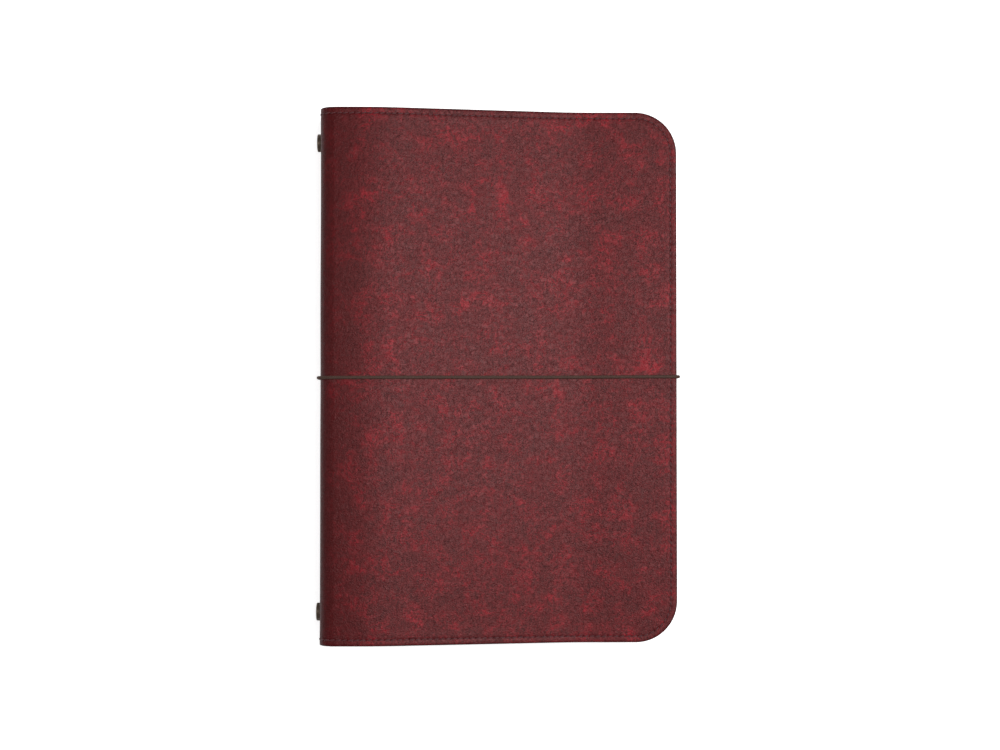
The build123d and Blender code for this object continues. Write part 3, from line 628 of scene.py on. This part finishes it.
waxed_thread, tree, shader = finish("waxed_thread", Specular_IOR_Level=0.45, Sheen_Weight=0.1)
where = shade(tree, "TexCoord").outputs["Object"]
strands = noise(tree, where, 2600.0, detail=3.0, roughness=0.6)
colour = stain(tree, ramp(tree, strands, low=0.3, high=0.7), dye(56, 16, 20), dye(98, 33, 38))
tree.links.new(colour, shader.inputs["Base Color"])
tree.links.new(scaled(tree, strands, by=0.25, plus=0.38), shader.inputs["Roughness"])
raise_surface(tree, shader, strands, strength=0.5, distance=0.05 * MM)
for side, inside in (("outer", False), ("inner", True)):
    back_row = stitch_row(f"{side}_stitches_back_half", False, inside)
    front_row = stitch_row(f"{side}_stitches_front_half", True, inside)
    for row in (back_row, front_row):
        dress(row, waxed_thread)
    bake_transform(back_row)
    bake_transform(front_row)
    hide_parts("back_cover_stitching", "spine_stitching")
    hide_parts("front_cover_stitching")

# --- The ring mechanism -----------------------------------------------------------------------
# An arched housing, two hinge plates and two thumb levers pressed from nickel-plated steel.
# Handling leaves fine scratches and a faint bloom on the plating.
handling, handled_in, handled_out = effect(
    "handling_wear",
    [("Place", "NodeSocketVector", None), ("Scratch Scale", "NodeSocketFloat", 900.0)],
    [("Scratches", "NodeSocketFloat"), ("Bloom", "NodeSocketFloat")],
)
scratched = handled_in.outputs["Place"]
scratch_scale = handled_in.outputs["Scratch Scale"]
long_way = drawn_out(handling, scratched, (1.0, 0.06, 1.0))
short_way = drawn_out(handling, scratched, (0.3, 1.0, 0.5))
lines = ramp(handling, noise(handling, long_way, scratch_scale), low=0.58, high=0.72)
ticks = ramp(handling, noise(handling, short_way, scratch_scale, detail=1.0), low=0.68, high=0.78)
handling.links.new(sums(handling, "MAXIMUM", lines, ticks), handled_out.inputs["Scratches"])
bloom = noise(handling, scratched, 90.0, detail=4.0, roughness=0.6, distortion=0.5)
handling.links.new(ramp(handling, bloom, low=0.35, high=0.7), handled_out.inputs["Bloom"])


def plated(name, dull, bright, rough, scratch_scale, metallic=1.0):
    """A plated or bronzed metal: two tones of its colour, and its roughness where clean."""
    made, tree, shader = finish(name, Metallic=metallic)
    where = shade(tree, "TexCoord").outputs["Object"]
    worn = use(tree, handling, Place=where, Scratch_Scale=scratch_scale)
    bloom, scratches = worn.outputs["Bloom"], worn.outputs["Scratches"]
    colour = stain(tree, scaled(tree, bloom, by=0.6), bright, dull)
    colour = stain(tree, scaled(tree, scratches, by=0.3), colour, bright)
    tree.links.new(colour, shader.inputs["Base Color"])
    hazy = scaled(tree, bloom, by=0.12, plus=rough)
    tree.links.new(scaled(tree, scratches, by=0.14, plus=hazy), shader.inputs["Roughness"])
    raise_surface(tree, shader, scratches, strength=0.12, distance=0.02 * MM)
    return made


nickel = plated("nickel_plate", dye(150, 148, 142), dye(196, 195, 190), rough=0.2, scratch_scale=900.0)
for name in ("ring_housing", "upper_hinge_plate", "lower_hinge_plate", "head_lever", "tail_lever"):
    dress(nodes[name], nickel)

# --- The rings ------------------------------------------------------------------------------
# Six rings of 3 mm steel wire, each in two halves that meet over the fore-edge side. Their
# chrome is bright, and only lightly marked where the sheets slide.
chrome = plated("ring_chrome", dye(188, 188, 188), dye(222, 222, 223), rough=0.07, scratch_scale=1500.0)
for name in ("upper_ring_halves", "lower_ring_halves"):
    dress(nodes[name], chrome)

# --- The binding posts, the eyelet and the crimp ------------------------------------------------
# Turned brass, chemically bronzed to a dark brown that rubs through to a warmer tone. The posts'
# round heads show on the spine; their slotted screws hold the housing from inside.
bronzed = plated(
    "dark_bronze", dye(78, 67, 58), dye(124, 108, 94), rough=0.36, scratch_scale=1200.0, metallic=0.6
)
for name in ("binding_posts", "binding_screws", "cord_eyelet", "cord_crimp"):
    dress(nodes[name], bronzed)

# --- The elastic cord -------------------------------------------------------------------------
# A rubber core in a braided sleeve, 1.5 mm thick. It leaves the spine by the eyelet, runs up and
# over the front cover, and is sewn into the edge of the back cover, which it holds shut.
CORD_RADIUS = 0.75 * MM
CORD_SLANT = 0.8 * MM  # how much nearer the tail it leaves the spine than it goes in
CORD_OFFSET = CORD_RADIUS + 0.1 * MM
CORD_BEND = 1.7 * MM
CRIMP_LENGTH = 1.9 * MM
EDGE_ROUND = 0.8 * MM
SEWN_IN = 8 * MM
BRAID_PICK = 0.55 * MM  # length of one strand's bump along the cord
BRAID_STRANDS = 5  # bumps round the cord
BRAID_RELIEF = 0.05 * MM
CORD_SIDES = 20
RINGS_PER_PICK = 4
middle = TOP / 2
front_face = TOP - DROP
square = -math.pi / 2
cord_line = [
    (CRIMP_LENGTH + COVER + CORD_OFFSET - CORD_BEND, 0),
    (CORD_BEND * math.pi / 2, square),
    (TOP - FOLD_RADIUS - middle - CORD_BEND, 0),
    ((FOLD_RADIUS + CORD_OFFSET) * math.pi / 2, square),
    (DRAPE_START - FOLD_RADIUS, 0),
    ((DRAPE_RADIUS + CORD_OFFSET) * DRAPE_SLOPE, -DRAPE_SLOPE),
    (drape_straight, 0),
    ((DRAPE_RADIUS - CORD_OFFSET) * DRAPE_SLOPE, DRAPE_SLOPE),
    (stretches[-1][0] - EDGE_ROUND, 0),
    ((EDGE_ROUND + CORD_OFFSET) * math.pi / 2, square),
    (front_face - EDGE_ROUND - COVER / 2 - CORD_BEND, 0),
    (CORD_BEND * math.pi / 2, square),
    (SEWN_IN, 0),
]
cord_length = sum(length for length, turn in cord_line)
cord_start = (SPINE_FACE + COVER + CRIMP_LENGTH, middle, math.pi)
steps = round(cord_length / (BRAID_PICK / RINGS_PER_PICK))
cord_mesh = bmesh.new()
loops = []
for i in range(steps + 1):
    along = cord_length * i / steps
    x, z, heading = walk(cord_line, *cord_start, along)
    loop = []
    for j in range(CORD_SIDES):
        angle = 2 * math.pi * j / CORD_SIDES
        turns = BRAID_STRANDS * angle
        pick = math.pi * along / BRAID_PICK
        bump = math.sin((turns + pick) / 2) ** 2 * math.cos((turns - pick) / 2) ** 2
        bump = max(bump, math.cos((turns + pick) / 2) ** 2 * math.sin((turns - pick) / 2) ** 2)
        radius = CORD_RADIUS - BRAID_RELIEF * (1 - bump)
        out, across = radius * math.sin(angle), radius * math.cos(angle)
        aside = across - CORD_SLANT * (FORE_EDGE - x) / (FORE_EDGE - SPINE_FACE)
        spot = (x - math.sin(heading) * out, aside, z + math.cos(heading) * out)
        loop.append(cord_mesh.verts.new(spot))
    loops.append(loop)
close_tube(cord_mesh, loops)
cord = smooth_piece("braided_cord", cord_mesh)
sleeve, tree, shader = finish(
    "braided_sleeve",
    Specular_IOR_Level=0.3,
    Sheen_Weight=0.35,
    Sheen_Roughness=0.35,
    Sheen_Tint=dye(190, 150, 130),
)
where = shade(tree, "TexCoord").outputs["Object"]
yarn = noise(tree, where, 3200.0, detail=3.0, roughness=0.65)
colour = stain(tree, ramp(tree, yarn, low=0.3, high=0.7), dye(46, 32, 27), dye(88, 64, 54))
tree.links.new(colour, shader.inputs["Base Color"])
tree.links.new(scaled(tree, yarn, by=0.2, plus=0.6), shader.inputs["Roughness"])
raise_surface(tree, shader, yarn, strength=0.5, distance=0.05 * MM)
dress(cord, sleeve)
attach(cord, "back_cover")
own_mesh(cord)
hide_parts("elastic_cord")

# --- The pocket sheets ------------------------------------------------------------------------
# Six sheets of clear film, each welded over a black card interleaf into eight pockets for
# card coin holders, with a stiffer punched strip on the rings.
card, tree, shader = finish("interleaf_card", Roughness=0.85, Specular_IOR_Level=0.3)
where = shade(tree, "TexCoord").outputs["Object"]
fibre = noise(tree, where, 1400.0, detail=4.0, roughness=0.65, distortion=0.3)
colour = stain(tree, ramp(tree, fibre, low=0.3, high=0.7), dye(24, 24, 26), dye(44, 44, 46))
tree.links.new(colour, shader.inputs["Base Color"])
raise_surface(tree, shader, fibre, strength=0.3, distance=0.04 * MM)

film, tree, shader = finish(
    "clear_film", Base_Color=(0.97, 0.98, 0.985, 1), Transmission_Weight=1.0, IOR=1.45
)
where = shade(tree, "TexCoord").outputs["Object"]
ripple = noise(tree, where, 60.0, detail=3.0, roughness=0.5, distortion=0.4)
haze = noise(tree, where, 500.0, detail=3.0, roughness=0.6)
tree.links.new(scaled(tree, haze, by=0.12, plus=0.02), shader.inputs["Roughness"])
raise_surface(tree, shader, ripple, strength=0.3, distance=0.3 * MM)
for name, node in nodes.items():
    if name.startswith("sheet_"):
        dress(node, card if name.endswith("interleaf") else film)

# --- The floor, the light and the camera -----------------------------------------------------
# A plain pale table, one broad soft light from the fore-edge side, a weaker one from the spine
# side, and a camera straight above the album.
FLOOR_REACH = 3.0
FLOOR_UNDER = 0.2 * MM  # just below the album, so that the two faces don't meet
floor_mesh = bpy.data.meshes.new("floor")
floor_corners = [(x * FLOOR_REACH, y * FLOOR_REACH, 0) for x, y in ((-1, -1), (1, -1), (1, 1), (-1, 1))]
floor_mesh.from_pydata(floor_corners, [], [(0, 1, 2, 3)])
floor = bpy.data.objects.new("floor", floor_mesh)
floor.location.z = -FLOOR_UNDER
bpy.context.scene.collection.objects.link(floor)
table_top, tree, shader = finish(
    "pale_table",
    Base_Color=(0.92, 0.92, 0.92, 1),
    Roughness=0.8,
    Specular_IOR_Level=0.1,
    Emission_Color=(1, 1, 1, 1),
)
seen = shade(tree, "LightPath").outputs["Is Camera Ray"]
tree.links.new(scaled(tree, seen, by=0.75), shader.inputs["Emission Strength"])
dress(floor, table_top)

world = bpy.data.worlds.new("studio")
bpy.context.scene.world = world
world.use_nodes = True
tree = world.node_tree
backdrop = tree.nodes["Background"]
backdrop.inputs["Color"].default_value = (1, 1, 1, 1)
seen = shade(tree, "LightPath").outputs["Is Camera Ray"]
tree.links.new(scaled(tree, seen, by=0.85, plus=0.15), backdrop.inputs["Strength"])


def soft_light(name, place, width, height, watts):
    """A rectangular soft box that faces the album."""
    lamp = bpy.data.lights.new(name, "AREA")
    lamp.shape = "RECTANGLE"
    lamp.size, lamp.size_y, lamp.energy = width, height, watts
    box = bpy.data.objects.new(name, lamp)
    box.location = place
    box.rotation_euler = (-Vector(place)).to_track_quat("-Z", "Y").to_euler()
    bpy.context.scene.collection.objects.link(box)


soft_light("key_box", (0.4, 0.08, 0.88), 0.28, 0.9, 8.8)
soft_light("fill_box", (-0.9, 0.0, 0.75), 0.2, 1.0, 2.0)

camera = bpy.data.cameras.new("camera")
camera.lens = 73.0
camera.sensor_width = 36.0
eye = bpy.data.objects.new("camera", camera)
CAMERA_HEIGHT = 0.8892
CAMERA_TILT = math.radians(1.4)
aim = Vector((0.0002, 0.0003, TOP))
eye.location = aim + Vector((0, -math.sin(CAMERA_TILT), math.cos(CAMERA_TILT))) * CAMERA_HEIGHT
eye.rotation_euler = (CAMERA_TILT, 0, 0)
bpy.context.scene.collection.objects.link(eye)
bpy.context.scene.camera = eye
bpy.context.scene.view_settings.view_transform = "Standard"
